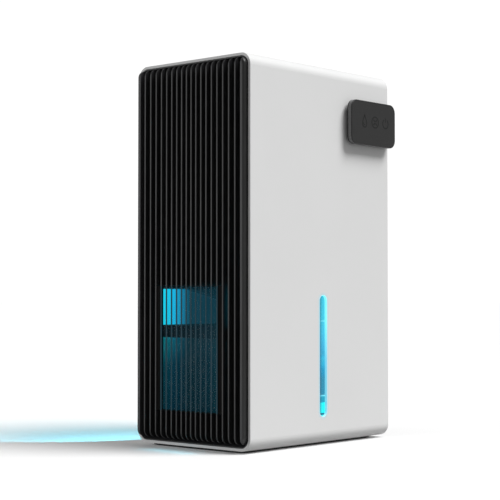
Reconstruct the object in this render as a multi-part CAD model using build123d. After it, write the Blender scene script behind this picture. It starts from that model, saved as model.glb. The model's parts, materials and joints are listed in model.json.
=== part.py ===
"""Compact thermoelectric dehumidifier, about 350 mm tall, as an assembly of separate pieces.

Row frame in millimetres: +Z up, the front grille faces -Y, the control pod is on the +X side.
The origin is on the floor under the middle of the casing.
"""
from build123d import *
import math
import os

os.makedirs("parts", exist_ok=True)

# ---- Driving dimensions -------------------------------------------------------------------
CASE_W = 139.0          # outer sleeve, X
CASE_D = 202.0          # outer sleeve, Y
CASE_TOP = 350.0        # top of the sleeve above the floor
FLOOR_GAP = 2.0         # sleeve stands this far above the floor
PAD_T = 0.9             # rubber pad under the base plate
BASE_SIZE = (115.0, 190.0)
BASE_MID_Y = -3.0
WALL = 2.5              # sleeve wall
CASE_R = 11.0           # outer corner radius of the sleeve
RIM_R = 0.4             # rounding of the sleeve's front and back rims
FIT = 0.3               # assembly gap between nested mouldings

FRONT = -CASE_D / 2
BACK = CASE_D / 2
SIDE = CASE_W / 2
CASE_Z = (FLOOR_GAP, CASE_TOP)
INNER_X = SIDE - WALL
INNER_BOTTOM = FLOOR_GAP + WALL
INNER_TOP = CASE_TOP - WALL
NEST_W = 2 * (INNER_X - FIT)                        # a moulding that fits inside the sleeve
NEST_Z = (INNER_BOTTOM + FIT, INNER_TOP - FIT)
NEST_R = CASE_R - WALL - FIT
FAR = 400.0             # longer than anything that is cut through

# M3 screws
SHANK_R = 1.5
CLEAR_R = 1.7
HEAD_R = 3.0
HEAD_T = 1.5
SLOT_W = 0.6            # width of the recess in a screw's head

# Front grille: slats stand proud of the sleeve and sit closer together towards the middle
PROUD = 5.1
SLATS_PER_SIDE = 9
SLAT_T = 1.4
SLAT_DEPTH = 9.3
SLAT_STEP = 5.77        # spacing at the middle
SLAT_SPREAD = 0.0945    # growth of the spacing towards the sides
GRILLE_FRONT = FRONT - PROUD
FRAME_SIDE = 1.2               # width of the visible frame beside the slats
FRAME_ENDS = (4.0, 2.4)        # height of the visible frame below and above the slats
FRAME_FRONT = FRONT + 0.5      # the frame sits just inside the sleeve's rim
FRAME_FLARE = (3.2, 1.6)       # the frame slopes outwards by this much below and above the slats
FLARE_DEPTH = 3.2
SLAT_ROOT = 1.0                # slats reach this far into the frame
SIDE_BAR_X = 62.1       # inner face of the grille's side bars
SHOULDER_R = 6.0        # rounding of the slat ends
BAR_R = 2.4             # rounding of the side bars' outer edges
BAR_GAP = 0.2           # the side bars stand this far inside the frame's sides
CROSS_BAR_Z = (24.0, 152.0, 200.0, 250.0, 300.0)    # thin bars behind the slats
CROSS_BAR_T = 2.0
CROSS_BAR_D = 3.0

# Lit display window behind the lower slats
WINDOW_HALF_X = 34.4
WINDOW_Z = (34.3, 145.2)
BEZEL_HALF_X = 40.8     # fills the slat gap on each side of the opening
BEZEL_BAR = 1.0         # height of the bezel's top and bottom bars
BEZEL_T = 0.8
BEZEL_GAP = 0.1         # bond line round and in front of the bezel
SLAT_OVER_WINDOW = 0.5  # slat depth left in front of the bezel
BEZEL_Z = (WINDOW_Z[0] - BEZEL_BAR, WINDOW_Z[1] + BEZEL_BAR)
BEZEL_FRONT = GRILLE_FRONT + SLAT_OVER_WINDOW + BEZEL_GAP
WINDOW_R = 1.5
LENS_T = 1.5
LENS_HALF_X = 37.5

# Side level windows
SLIT_W = 10.4
SLIT_Z = (26.4, 137.5)
LEVEL_LENS_RIM = 2.8    # lens overlap behind the sleeve, each side
LEVEL_LENS_T = 1.9

# Tank bay and tank
LINER_T = 1.8
LINER_X = INNER_X - 0.4
LINER_FRONT = FRONT + 4.4
VIEW_HALF_X = 48.0      # gap in the liner behind the display window
LINER_BACK = 96.0
BAY_TOP = 145.8
BAY_FLOOR = INNER_BOTTOM + FIT + 2.0
BAY_R = 8.0
PANEL_X = (62.6, 64.6)  # light guide panel, inner and outer face
PANEL_Y = (-92.0, 74.0)
PANEL_Z = (15.0, 143.5)
LED_STRIP_Y = (-94.7, -92.1)
LED_COUNT = 8
LED_STEP = 15.2
LED_FIRST_Z = 26.0
LED_SIZE = 3.0
TANK_HALF_X = 60.0
TANK_Y = (-93.0, 82.0)
TANK_Z = (BAY_FLOOR + 0.05, 107.9)
TANK_WALL = 2.0
TANK_R = 9.0
LID_T = 2.0
LID_SKIRT = 9.0
LID_WALL = 1.2
LID_GAP = 0.2
INLET = (0.0, -55.0)    # drip hole in the lid, under the funnel spout
INLET_R = 9.0
POUR = (-40.0, 60.0)    # pouring hole in the lid
POUR_R = 8.0
FILL_MARK_Z = (43.0, 72.0, 92.0)
TANK_OPENING = (62.6, 6.5, 115.0)   # half width, bottom, top, in the rear cover
PULL_HALF_X = 35.0
PULL_Z = (70.0, 96.0)
PULL_UNDERCUT = 8.0
PULL_DEPTH = 10.2
PULL_R = 8.0
GRIP_SKIN = 2.4
GRIP_WALL = 2.0
GRIP_RIB_X = (-50.0, -24.0, 24.0, 50.0)
GRIP_RIB_T = 2.4

# Float switch
FLOAT_X = 42.0
FLOAT_PIVOT = (20.0, 101.0)         # Y, Z
FLOAT_PIN_R = 1.5
FLOAT_BORE_R = 1.55
FLOAT_EAR_X = (FLOAT_X - 11.5, FLOAT_X + 9.5)
FLOAT_EAR_T = 2.0
MAGNET_R = 4.0

# Upper bay
DECK_Z = (145.9, 148.9)
DUCT_Z = (149.2, 347.2)
DRIP_OPENING = (50.0, (-86.0, -40.0))   # half width and Y, in the deck
CORE_Z = 250.0          # height of the fan axis and of the thermoelectric stack
BULKHEAD_Y = (-36.0, -33.0)
STACK_Y = (-36.0, -32.2)
TEC_SIZE = 40.0
TEC_Z = (222.0, 278.0)
CERAMIC_T = 0.8
CLAMP_X = 30.0
FIN_T = 1.2
COLD_SINK = (42.0, (190.0, 310.0), 4.0, -68.0, 6.0)     # half width, Z, base, fin tips Y, fin spacing
HOT_SINK = (55.0, (182.0, 318.0), 6.0, 5.0, 5.5)
FAN_PLATE_Y = (5.0, 7.0)
FAN_SIZE = 120.0
FAN_Y = (7.0, 32.0)
FAN_BORE_R = 57.5
FAN_HOLE_STEP = 105.0
FAN_HUB_R = 20.0
FAN_BLADES = 7
FAN_SPOKES = 4
FAN_SCREW_R = 1.8
FAN_SCREW_LENGTH = 26.9
STATOR_R = 8.5
TUBE_R = 5.0            # bearing tube, outside
BUSH_R = 3.5
SHAFT_R = 1.5
BEARING_GAP = 0.03

# Control pod on the right side
POD_Y = (32.0, 101.0)
POD_Z = (279.5, 321.6)
POD_R = 8.0
POD_STANDOFF = 2.9
POD_T = 6.2
TOUCH_T = 1.0
TOUCH_RIM = 1.0         # raised rim round the touch face
TOUCH_SINK = 0.1        # height of that rim
KEY_Y = (52.0, 68.6, 85.2)
KEY_Z = 302.3
STEM_R = 6.0
STEM_BORE_R = 3.5
POD_FLOOR = 1.4         # thickness of the pod's inner wall
POD_WALL = 2.0

# Rear cover
COVER_Y = (97.0, 100.4)
COVER_SCREWS = [(x, z) for x in (-58, 58) for z in (140, 237, 334)]
COUNTERBORE = (3.3, 1.6)            # radius and depth
POST_Y = (78.0, 90.0)
POST_R = 4.0
POST_RIB_T = 3.0
EXHAUST_SLOT = (3.4, 124.0)
EXHAUST_SLOTS = 15
EXHAUST_STEP = 7.2
JACK = (-45.0, 163.0)   # X, Z
JACK_NOSE_R = 5.4
JACK_BORE_R = 2.8
JACK_FRONT = 84.0

# Main board
BOARD_Z = 155.0
BOARD_T = 1.6
BOARD_X = (-52.0, 52.0)
BOARD_Y = (40.0, 90.0)
BOARD_TOP = BOARD_Z + BOARD_T
BOARD_SCREWS = [(x, y) for x in (-46, 46) for y in (45, 85)]
SOCKET_X = (-34.0, -20.0, -6.0, 30.0)
SOCKET_Y = (82.0, 88.0)
SOCKET_H = 7.0

# Base
BASE_SCREWS = [(x, y) for x in (-40, 40) for y in (-66, 66)]
BASE_R = 10.0
PAD_INSET = 3.0


# ---- Helpers ------------------------------------------------------------------------------
def block(x, y, z):
    """Box from its limits along each axis."""
    middle = Pos((x[0] + x[1]) / 2, (y[0] + y[1]) / 2, (z[0] + z[1]) / 2)
    return middle * Box(abs(x[1] - x[0]), abs(y[1] - y[0]), abs(z[1] - z[0]))


def along_y(sketch, y0, y1):
    """Extrudes a sketch, drawn with X across and Z up, from y0 to y1."""
    return Pos(0, y1, 0) * extrude(Plane.XZ * sketch, amount=y1 - y0)


def along_x(sketch, x0, x1):
    """Extrudes a sketch, drawn with Y across and Z up, from x0 to x1."""
    return Pos(x0, 0, 0) * extrude(Plane.YZ * sketch, amount=x1 - x0)


def through_y(sketch):
    """Cutter along the whole of Y."""
    return along_y(sketch, -FAR, FAR)


def through_x(sketch):
    """Cutter along the whole of X."""
    return along_x(sketch, -FAR, FAR)


def rod_x(radius, x0, x1, y, z):
    return Pos(0, y, z) * along_x(Circle(radius), x0, x1)


def rod_y(radius, y0, y1, x, z):
    return Pos(x, 0, z) * along_y(Circle(radius), y0, y1)


def rod_z(radius, z0, z1, x, y):
    return Pos(x, y, z0) * extrude(Circle(radius), amount=z1 - z0)


def upright(width, z, radius, inset=0.0):
    """Rounded rectangle centred on X = 0, from z[0] to z[1], drawn in by inset, or out if negative."""
    height = z[1] - z[0] - 2 * inset
    sketch = RectangleRounded(width - 2 * inset, height, radius - inset)
    return Pos(0, (z[0] + z[1]) / 2) * sketch


def pill(width, z, grow=0.0):
    """Upright slot outline from z[0] to z[1], grown by grow all round."""
    return Pos(0, (z[0] + z[1]) / 2) * SlotOverall(z[1] - z[0] + 2 * grow, width + 2 * grow, rotation=90)


def slat_x(n):
    """X of the n-th slat position from the middle, with n counted in steps and half steps."""
    return SLAT_STEP * n + SLAT_SPREAD * n * n


def mirrored(solid):
    return mirror(solid, about=Plane.YZ)


def cross_recess(x, z, y, reach):
    """Cutter for the cross in a screw's head, over the range y."""
    half = SLOT_W / 2
    flat = block((x - reach, x + reach), y, (z - half, z + half))
    return flat + block((x - half, x + half), y, (z - reach, z + reach))


def screw_y(x, z, head_y, length, head_r, shank_r, head_t, towards=1):
    """Pan-head screw along Y with a cross recess. towards is the way that the shank points."""
    top = head_y - towards * head_t
    head = rod_y(head_r, *sorted((head_y, top)), x, z)
    shank = rod_y(shank_r, *sorted((head_y, head_y + towards * length)), x, z)
    return head + shank - cross_recess(x, z, sorted((top, top + towards * head_t / 2)), head_r * 0.6)


made = {}


def keep(name, *solids):
    made[name] = solids[0] if len(solids) == 1 else Compound(children=list(solids))


# ---- Casing -------------------------------------------------------------------------------
def outer_sleeve():
    """White tube, open at the front and back, with a level slit in each side."""
    shell = along_y(upright(CASE_W, CASE_Z, CASE_R), FRONT, BACK)
    shell = fillet(shell.faces().filter_by(Axis.Y).edges(), RIM_R)
    shell -= through_y(upright(CASE_W, CASE_Z, CASE_R, WALL))
    shell -= through_x(pill(SLIT_W, SLIT_Z))
    shell -= rod_x(STEM_R + 0.1, 0, FAR, sum(POD_Y) / 2, sum(POD_Z) / 2)
    for x, y in BASE_SCREWS:
        shell -= rod_z(CLEAR_R, 0, INNER_BOTTOM + 1, x, y)
    return shell


def slat_gaps(back):
    """Cutters between the slats, from the front of the grille to back."""
    edges = [slat_x(n + 0.5) for n in range(SLATS_PER_SIDE)]
    starts = [-slat_x(0.5)] + edges
    ends = edges + [SIDE_BAR_X + SLAT_T / 2]
    gaps = []
    for a, b in zip(starts, ends):
        gap = block((a + SLAT_T / 2, b - SLAT_T / 2), (GRILLE_FRONT - 1, back + 1), CASE_Z)
        gaps.append(gap)
        if a > 0:
            gaps.append(mirrored(gap))
    return gaps


def grille_frame(back):
    """Ring inside the sleeve's rim, sloping inwards above and below the slats."""
    opening_w = NEST_W - 2 * FRAME_SIDE
    opening_z = (NEST_Z[0] + FRAME_ENDS[0], NEST_Z[1] - FRAME_ENDS[1])
    flared_z = (opening_z[0] - FRAME_FLARE[0], opening_z[1] + FRAME_FLARE[1])
    ring = along_y(upright(NEST_W, NEST_Z, NEST_R), FRAME_FRONT, back)
    ring -= through_y(upright(opening_w, opening_z, SHOULDER_R))
    flared = Plane.XZ.offset(-FRAME_FRONT) * upright(opening_w, flared_z, SHOULDER_R)
    narrow = Plane.XZ.offset(-FRAME_FRONT - FLARE_DEPTH) * upright(opening_w, opening_z, SHOULDER_R)
    return ring - loft([flared, narrow])


def front_grille():
    """Upright slats with rounded ends between two side bars, all on a frame inside the sleeve's rim."""
    back = GRILLE_FRONT + SLAT_DEPTH
    slat_z = (NEST_Z[0] + FRAME_ENDS[0] - SLAT_ROOT, NEST_Z[1] - FRAME_ENDS[1] + SLAT_ROOT)
    slats = along_y(upright(NEST_W - 2 * BAR_GAP, slat_z, SHOULDER_R + 0.6), GRILLE_FRONT, back)
    slats = fillet(slats.faces().sort_by(Axis.Y)[0].edges(), BAR_R)
    ends = block((-INNER_X, INNER_X), (GRILLE_FRONT, back), slat_z)
    slats &= fillet(ends.faces().sort_by(Axis.Y)[0].edges().filter_by(Axis.X), SHOULDER_R)
    for gap in slat_gaps(back):
        slats -= gap
    grille = slats + grille_frame(back)
    bar_x = INNER_X - FRAME_SIDE
    for z in CROSS_BAR_Z:
        bar_z = (z - CROSS_BAR_T / 2, z + CROSS_BAR_T / 2)
        grille += block((-bar_x, bar_x), (back - CROSS_BAR_D, back), bar_z)
    recess = upright(2 * BEZEL_HALF_X + 2 * BEZEL_GAP, BEZEL_Z, WINDOW_R, -BEZEL_GAP)
    return grille - along_y(recess, GRILLE_FRONT + SLAT_OVER_WINDOW, FRONT + 20)


def display_bezel():
    """Black mask around the window, bonded to the backs of the shallow slats."""
    mask = along_y(upright(2 * BEZEL_HALF_X, BEZEL_Z, WINDOW_R), BEZEL_FRONT, BEZEL_FRONT + BEZEL_T)
    return mask - through_y(upright(2 * WINDOW_HALF_X, WINDOW_Z, WINDOW_R))


def display_lens():
    outline = upright(2 * LENS_HALF_X, BEZEL_Z, WINDOW_R, 0.2)
    back_of_bezel = BEZEL_FRONT + BEZEL_T
    return along_y(outline, back_of_bezel, back_of_bezel + LENS_T)


def rear_cover():
    """Black back with the fan's outlet slots, openings for the tank and supply, and screw bosses."""
    cover = along_y(upright(NEST_W, NEST_Z, NEST_R), *COVER_Y)
    cover = fillet(cover.faces().sort_by(Axis.Y)[-1].edges(), 0.8)
    half, low, high = TANK_OPENING
    cover -= block((-half, half), (0, FAR), (low, high))
    for i in range(EXHAUST_SLOTS):
        x = (i - (EXHAUST_SLOTS - 1) / 2) * EXHAUST_STEP
        cover -= through_y(Pos(x, CORE_Z) * SlotOverall(EXHAUST_SLOT[1], EXHAUST_SLOT[0], rotation=90))
    cover -= rod_y(JACK_NOSE_R + 0.2, 0, FAR, *JACK)
    bore_r, bore_t = COUNTERBORE
    for x, z in COVER_SCREWS:
        cover += rod_y(POST_R, POST_Y[1], COVER_Y[0], x, z)
        cover -= rod_y(CLEAR_R, 0, FAR, x, z)
        cover -= rod_y(bore_r, COVER_Y[1] - bore_t, FAR, x, z)
    return cover


def cover_screws():
    seat = COVER_Y[1] - COUNTERBORE[1]
    return [screw_y(x, z, seat, 9.5, HEAD_R, SHANK_R, HEAD_T, towards=-1) for x, z in COVER_SCREWS]


def screw_posts():
    """Threaded posts for the rear cover's screws, each on a rib from the wall beside it."""
    posts = []
    for x, z in COVER_SCREWS:
        wall = LINER_X - LINER_T if z < DECK_Z[0] else INNER_X
        rib_z = (z - POST_RIB_T / 2, z + POST_RIB_T / 2)
        rib = block((0.9 * x, math.copysign(wall, x)), POST_Y, rib_z)
        posts.append(rod_y(POST_R, *POST_Y, x, z) + rib - rod_y(SHANK_R, POST_Y[0] + 4, FAR, x, z))
    return posts


# ---- Base ---------------------------------------------------------------------------------
def base_sheet(inset, low, high, hole_r):
    """Flat sheet under the sleeve with clearance holes for the base screws."""
    plan = RectangleRounded(BASE_SIZE[0] - inset, BASE_SIZE[1] - inset, BASE_R)
    sheet = Pos(0, BASE_MID_Y, low) * extrude(plan, amount=high - low)
    for x, y in BASE_SCREWS:
        sheet -= rod_z(hole_r, 0, INNER_BOTTOM, x, y)
    return sheet


def base_plate():
    return base_sheet(0, PAD_T, FLOOR_GAP, HEAD_R + 0.2)


def rubber_pad():
    pad = base_sheet(PAD_INSET, 0, PAD_T, HEAD_R + 0.6)
    return fillet(pad.faces().sort_by(Axis.Z)[0].outer_wire().edges(), 0.3)


def base_screws():
    """Slotted screws up through the base plate and sleeve into the tank bay's floor."""
    screws = []
    reach = HEAD_R * 0.6
    half = SLOT_W / 2
    for x, y in BASE_SCREWS:
        screw = rod_z(HEAD_R, 0.7, FLOOR_GAP, x, y) + rod_z(SHANK_R, FLOOR_GAP, BAY_FLOOR - 0.2, x, y)
        screw -= block((x - reach, x + reach), (y - half, y + half), (0, 1.2))
        screw -= block((x - half, x + half), (y - reach, y + reach), (0, 1.2))
        screws.append(screw)
    return screws


# ---- Tank bay -----------------------------------------------------------------------------
def tank_bay_liner():
    """Black trough round the tank, open at the back, with openings for the window and the slits."""
    outline = (NEST_Z[0], 2 * BAY_TOP)
    trough = along_y(upright(2 * LINER_X, outline, BAY_R), LINER_FRONT, LINER_BACK)
    trough -= along_y(upright(2 * LINER_X, outline, BAY_R, LINER_T), LINER_FRONT + LINER_T, FAR)
    trough -= block((-FAR, FAR), (-FAR, FAR), (BAY_TOP, FAR))
    trough -= block((-VIEW_HALF_X, VIEW_HALF_X), (-FAR, LINER_FRONT + LINER_T + 1), (BEZEL_Z[0] - 2.0, FAR))
    trough -= through_x(pill(SLIT_W, SLIT_Z, LEVEL_LENS_RIM + 0.2))
    for x, y in BASE_SCREWS:
        trough -= rod_z(SHANK_R, 0, BAY_FLOOR - 0.2, x, y)
    return trough


def level_lens():
    outer = INNER_X - 0.1
    return along_x(pill(SLIT_W, SLIT_Z, LEVEL_LENS_RIM), outer - LEVEL_LENS_T, outer)


def light_panel():
    panel = block(PANEL_X, PANEL_Y, PANEL_Z)
    return fillet(panel.edges().filter_by(Axis.X), 2.0)


def led_strip():
    return block((PANEL_X[0] + 1.0, PANEL_X[1]), LED_STRIP_Y, (PANEL_Z[0] + 3.0, PANEL_Z[1] - 2.5))


def led_chips():
    """Lamps along the front edge of each light panel."""
    chips = []
    for i in range(LED_COUNT):
        z = LED_FIRST_Z + i * LED_STEP
        chip_y = (LED_STRIP_Y[0] + 0.2, LED_STRIP_Y[1] - 0.2)
        chip = block((PANEL_X[0] + 0.2, PANEL_X[0] + 1.0), chip_y, (z - LED_SIZE / 2, z + LED_SIZE / 2))
        chips += [chip, mirrored(chip)]
    return chips


def mid_deck():
    """Floor of the upper bay, open under the cold fins, with posts for the main board."""
    deck = block((-LINER_X, LINER_X), (LINER_FRONT, LINER_BACK), DECK_Z)
    half, drip_y = DRIP_OPENING
    deck -= block((-half, half), drip_y, (0, FAR))
    deck -= block((-VIEW_HALF_X, VIEW_HALF_X), (-FAR, LINER_FRONT + LINER_T), (0, FAR))
    for x, y in BOARD_SCREWS:
        deck += rod_z(3.0, DECK_Z[1], BOARD_Z, x, y) - rod_z(1.2, DECK_Z[1] + 2.1, FAR, x, y)
    return deck


def drip_funnel():
    """Catches what drips off the cold fins and leads it to the tank lid."""
    x, y = INLET
    mid_y = sum(DRIP_OPENING[1]) / 2
    wall = 1.2
    rim_t = 1.6
    top_w, top_d = 98.0, 45.0
    neck_w, neck_z = 14.0, 134.0
    rim = block((-54, 54), (-90, -38), (DECK_Z[1], DECK_Z[1] + rim_t))
    bowl_top = Pos(0, mid_y, DECK_Z[1] + 0.1) * Rectangle(top_w, top_d)
    bowl_low = Pos(x, y, neck_z) * Rectangle(neck_w, neck_w)
    funnel = rim + loft([bowl_top, bowl_low]) + rod_z(6.5, neck_z - 12.0, neck_z + 1.5, x, y)
    hollow_top = Pos(0, mid_y, DECK_Z[1] + rim_t + 0.1) * Rectangle(top_w - 2 * wall, top_d - 2 * wall)
    hollow_low = Pos(x, y, neck_z + 1.4) * Rectangle(9.6, 9.6)
    funnel -= loft([hollow_top, hollow_low])
    return funnel - rod_z(4.6, 0, neck_z + 6.0, x, y)


def tank_sensor():
    return block((62.5, LINER_X - LINER_T), (88.0, 95.0), (94.0, 112.0))


# ---- Tank ---------------------------------------------------------------------------------
TANK_MID_Y = (TANK_Y[0] + TANK_Y[1]) / 2
TANK_LEN = TANK_Y[1] - TANK_Y[0]


def tank_plan(grow):
    """Plan outline of the tank, grown by grow."""
    sketch = RectangleRounded(2 * (TANK_HALF_X + grow), TANK_LEN + 2 * grow, TANK_R + grow)
    return Pos(0, TANK_MID_Y) * sketch


def tank_body():
    low, high = TANK_Z
    body = Pos(0, 0, low) * extrude(tank_plan(0), amount=high - low)
    body = fillet(body.faces().sort_by(Axis.Z)[0].edges(), 3.0)
    hollow = Pos(0, 0, low + TANK_WALL) * extrude(tank_plan(-TANK_WALL), amount=high)
    body -= hollow
    for z in FILL_MARK_Z:
        mark = block((TANK_HALF_X - 0.1, TANK_HALF_X + 0.5), (-16, 16), (z - 0.5, z + 0.5))
        body += mark + mirrored(mark)
    return body


def tank_grip():
    """Hollow rear face of the tank, with a finger recess that is undercut at the top."""
    half, _, high = TANK_OPENING
    width = 2 * half - 0.8
    z = (BAY_FLOOR + 0.2, high - 0.4)
    back = COVER_Y[1] - 0.2
    cup_front = back - PULL_DEPTH
    grip = along_y(upright(width, z, 2.5), TANK_Y[1] + 2.0, back)
    grip = fillet(grip.faces().sort_by(Axis.Y)[-1].edges(), 0.8)
    grip -= along_y(upright(width, z, 2.5, GRIP_WALL), 0, back - GRIP_SKIN)
    cup_half = PULL_HALF_X + GRIP_WALL
    cup_z = (PULL_Z[0] - GRIP_WALL, PULL_Z[1] + PULL_UNDERCUT + GRIP_WALL)
    grip += block((-cup_half, cup_half), (cup_front - GRIP_WALL, back - 1), cup_z)
    grip -= along_y(upright(2 * PULL_HALF_X, PULL_Z, PULL_R), cup_front, FAR)
    pocket_z = (PULL_Z[0], PULL_Z[1] + PULL_UNDERCUT)
    grip -= along_y(upright(2 * PULL_HALF_X, pocket_z, PULL_R), cup_front, back - GRIP_SKIN - 1.0)
    for x in GRIP_RIB_X:
        rib_x = (x - GRIP_RIB_T / 2, x + GRIP_RIB_T / 2)
        grip += block(rib_x, (TANK_Y[1], cup_front - 1), (16, 98))
        grip += block(rib_x, (TANK_Y[1], back - 1), (16, PULL_Z[0] - 1))
    return grip


def tank_lid():
    """Lid with a skirt round the tank's rim, a drip hole, a pouring hole and ears for the float arm."""
    under = TANK_Z[1] + 0.1
    top = under + LID_T
    cap = Pos(0, 0, under - LID_SKIRT) * extrude(tank_plan(LID_GAP + LID_WALL), amount=LID_T + LID_SKIRT)
    cap = fillet(cap.faces().sort_by(Axis.Z)[-1].edges(), 1.0)
    cap -= extrude(tank_plan(LID_GAP), amount=under)
    cap += rod_z(INLET_R + 2.0, under, top + 2.5, *INLET)
    cap -= rod_z(INLET_R, 0, FAR, *INLET)
    cap -= rod_z(POUR_R, 0, FAR, *POUR)
    y, z = FLOAT_PIVOT
    for x in FLOAT_EAR_X:
        ear_x = (x, x + FLOAT_EAR_T)
        cap += block(ear_x, (y - 5, y + 5), (z, under + 0.5)) + rod_x(5.0, *ear_x, y, z)
    return cap - rod_x(FLOAT_BORE_R, FLOAT_X - 12, FLOAT_X + 12, y, z)


def pour_plug():
    """Silicone stopper with a small button to pull it by."""
    under = TANK_Z[1] + 0.1
    top = under + LID_T
    flange = top + 1.2
    plug = rod_z(POUR_R - 0.1, under - 2.5, top, *POUR) + rod_z(POUR_R + 2.5, top, flange, *POUR)
    return plug + rod_z(3.0, flange, flange + 1.4, *POUR)


def float_arm():
    y, z = FLOAT_PIVOT
    arm = rod_x(FLOAT_PIN_R, FLOAT_X - 11.4, FLOAT_X + 11.4, y, z)
    arm += rod_x(4.0, FLOAT_X - 8.5, FLOAT_X + 8.5, y, z)
    beam = Polyline((y, z + 3.5), (y + 34, z - 14), (y + 34, z - 20), (y, z - 3.5), close=True)
    arm += along_x(make_face(beam), FLOAT_X - 4, FLOAT_X + 4)
    return arm


def float_block():
    """Float with a slot for its arm and a pocket for the magnet."""
    y, z = FLOAT_PIVOT
    shape = block((FLOAT_X - 12, FLOAT_X + 12), (y + 24, y + 52), (z - 30, z - 12))
    shape = fillet(shape.edges().filter_by(Axis.Z), 4.0)
    shape -= along_x(Pos(y + 17.0, z) * Rectangle(34.4, 70), FLOAT_X - 4.1, FLOAT_X + 4.1)
    return shape - rod_x(MAGNET_R + 0.05, FLOAT_X + 4, FLOAT_X + 9.05, y + 43, z - 21)


def float_magnet():
    y, z = FLOAT_PIVOT
    return rod_x(MAGNET_R, FLOAT_X + 4.2, FLOAT_X + 9.0, y + 43, z - 21)


# ---- Thermoelectric stack -----------------------------------------------------------------
def duct_plate(y):
    """Wall across the upper bay, with the sleeve's corner radius at the top."""
    plate = along_y(upright(2 * LINER_X, (DUCT_Z[0] - 20, DUCT_Z[1]), 8.0), *y)
    return plate - block((-FAR, FAR), (-FAR, FAR), (0, DUCT_Z[0]))


def core_bulkhead():
    """Wall that holds the stack, with an air slot on each side of it."""
    plate = duct_plate(BULKHEAD_Y)
    plate -= block((-45, 45), (-FAR, FAR), (195, 305))
    for x in (-58, 58):
        plate -= through_y(Pos(x, CORE_Z) * SlotOverall(150, 11, rotation=90))
    return plate


def finned_sink(half_x, z, base_y, fin_y, step):
    """Base plate with upright fins, spaced evenly about X = 0."""
    sink = block((-half_x, half_x), base_y, z)
    count = int((half_x - FIN_T) / step - 0.5)
    for i in range(-count - 1, count + 1):
        x = (i + 0.5) * step
        sink += block((x - FIN_T / 2, x + FIN_T / 2), fin_y, z)
    return sink


def clamp_holes(solid, radius, end=STACK_Y[1] + FAR):
    """Drills solid for the clamp screws, from the front as far as end."""
    for x in (-CLAMP_X, CLAMP_X):
        for z in TEC_Z:
            solid -= rod_y(radius, -FAR, end, x, z)
    return solid


def cold_sink():
    half_x, z, base_t, tips_y, step = COLD_SINK
    face = STACK_Y[0]
    sink = finned_sink(half_x, z, (face - base_t, face), (tips_y, face - base_t + 1), step)
    return clamp_holes(sink, CLEAR_R)


def hot_sink():
    half_x, z, base_t, tips_y, step = HOT_SINK
    face = STACK_Y[1]
    sink = finned_sink(half_x, z, (face, face + base_t), (face + base_t - 1, tips_y), step)
    return clamp_holes(sink, SHANK_R, face + base_t - 1)


def insulation_foam():
    """Foam round the modules, between the two sinks."""
    foam = block((-44.8, 44.8), STACK_Y, (195.2, 304.8))
    side = TEC_SIZE / 2 + 0.2
    for z in TEC_Z:
        foam -= block((-side, side), (-FAR, FAR), (z - side, z + side))
    return clamp_holes(foam, CLEAR_R)


def peltier_modules():
    """Each module is a smaller core between two ceramic faces."""
    half = TEC_SIZE / 2
    front, back = STACK_Y
    modules = []
    for z in TEC_Z:
        core_y = (front + CERAMIC_T, back - CERAMIC_T)
        core = block((1 - half, half - 1), core_y, (z - half + 1, z + half - 1))
        cold = block((-half, half), (front, front + CERAMIC_T), (z - half, z + half))
        hot = block((-half, half), (back - CERAMIC_T, back), (z - half, z + half))
        modules.append(core + cold + hot)
    return modules


def clamp_screws():
    head_y = STACK_Y[0] - COLD_SINK[2]
    places = [(x, z) for x in (-CLAMP_X, CLAMP_X) for z in TEC_Z]
    return [screw_y(x, z, head_y, 12.0, 2.2, SHANK_R, HEAD_T, towards=1) for x, z in places]


# ---- Fan ----------------------------------------------------------------------------------
FAN_HOLES = [(x * FAN_HOLE_STEP / 2, CORE_Z + z * FAN_HOLE_STEP / 2) for x in (-1, 1) for z in (-1, 1)]


def fan_plate():
    plate = duct_plate(FAN_PLATE_Y) - rod_y(FAN_BORE_R, -FAR, FAR, 0, CORE_Z)
    for x, z in FAN_HOLES:
        plate -= rod_y(FAN_SCREW_R, -FAR, FAR, x, z)
    return plate


def fan_frame():
    """Square frame with a waist between its flanges, and a hub on spokes at the back."""
    low, high = CORE_Z - FAN_SIZE / 2, CORE_Z + FAN_SIZE / 2
    flange, hub_t = 4.0, 3.0
    front, back = FAN_Y
    frame = along_y(upright(FAN_SIZE, (low, high), 6.0), front, back)
    frame -= rod_y(FAN_BORE_R, -FAR, FAR, 0, CORE_Z)
    waist = along_y(upright(FAN_SIZE + 2, (low - 1, high + 1), 6.0), front + flange, back - flange)
    waist -= rod_y(FAN_BORE_R + 2.0, -FAR, FAR, 0, CORE_Z)
    for x, z in FAN_HOLES:
        waist -= rod_y(7.0, -FAR, FAR, x, z)
    frame -= waist
    frame += rod_y(FAN_HUB_R, back - hub_t, back, 0, CORE_Z)
    for i in range(FAN_SPOKES):
        spoke = block((FAN_HUB_R - 2, FAN_BORE_R + 1), (back - hub_t, back), (-2, 2))
        frame += Pos(0, 0, CORE_Z) * Rot(0, 45 + 360 / FAN_SPOKES * i, 0) * spoke
    frame += rod_y(TUBE_R, front + 6, back - 2, 0, CORE_Z)
    frame -= rod_y(BUSH_R, front + 5, back - 1, 0, CORE_Z)
    for x, z in FAN_HOLES:
        frame -= rod_y(FAN_SCREW_R, -FAR, FAR, x, z)
    return frame


def fan_bearing():
    bush = rod_y(BUSH_R, FAN_Y[0] + 6.2, FAN_Y[1] - 4, 0, CORE_Z)
    return bush - rod_y(SHAFT_R + BEARING_GAP, -FAR, FAR, 0, CORE_Z)


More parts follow.
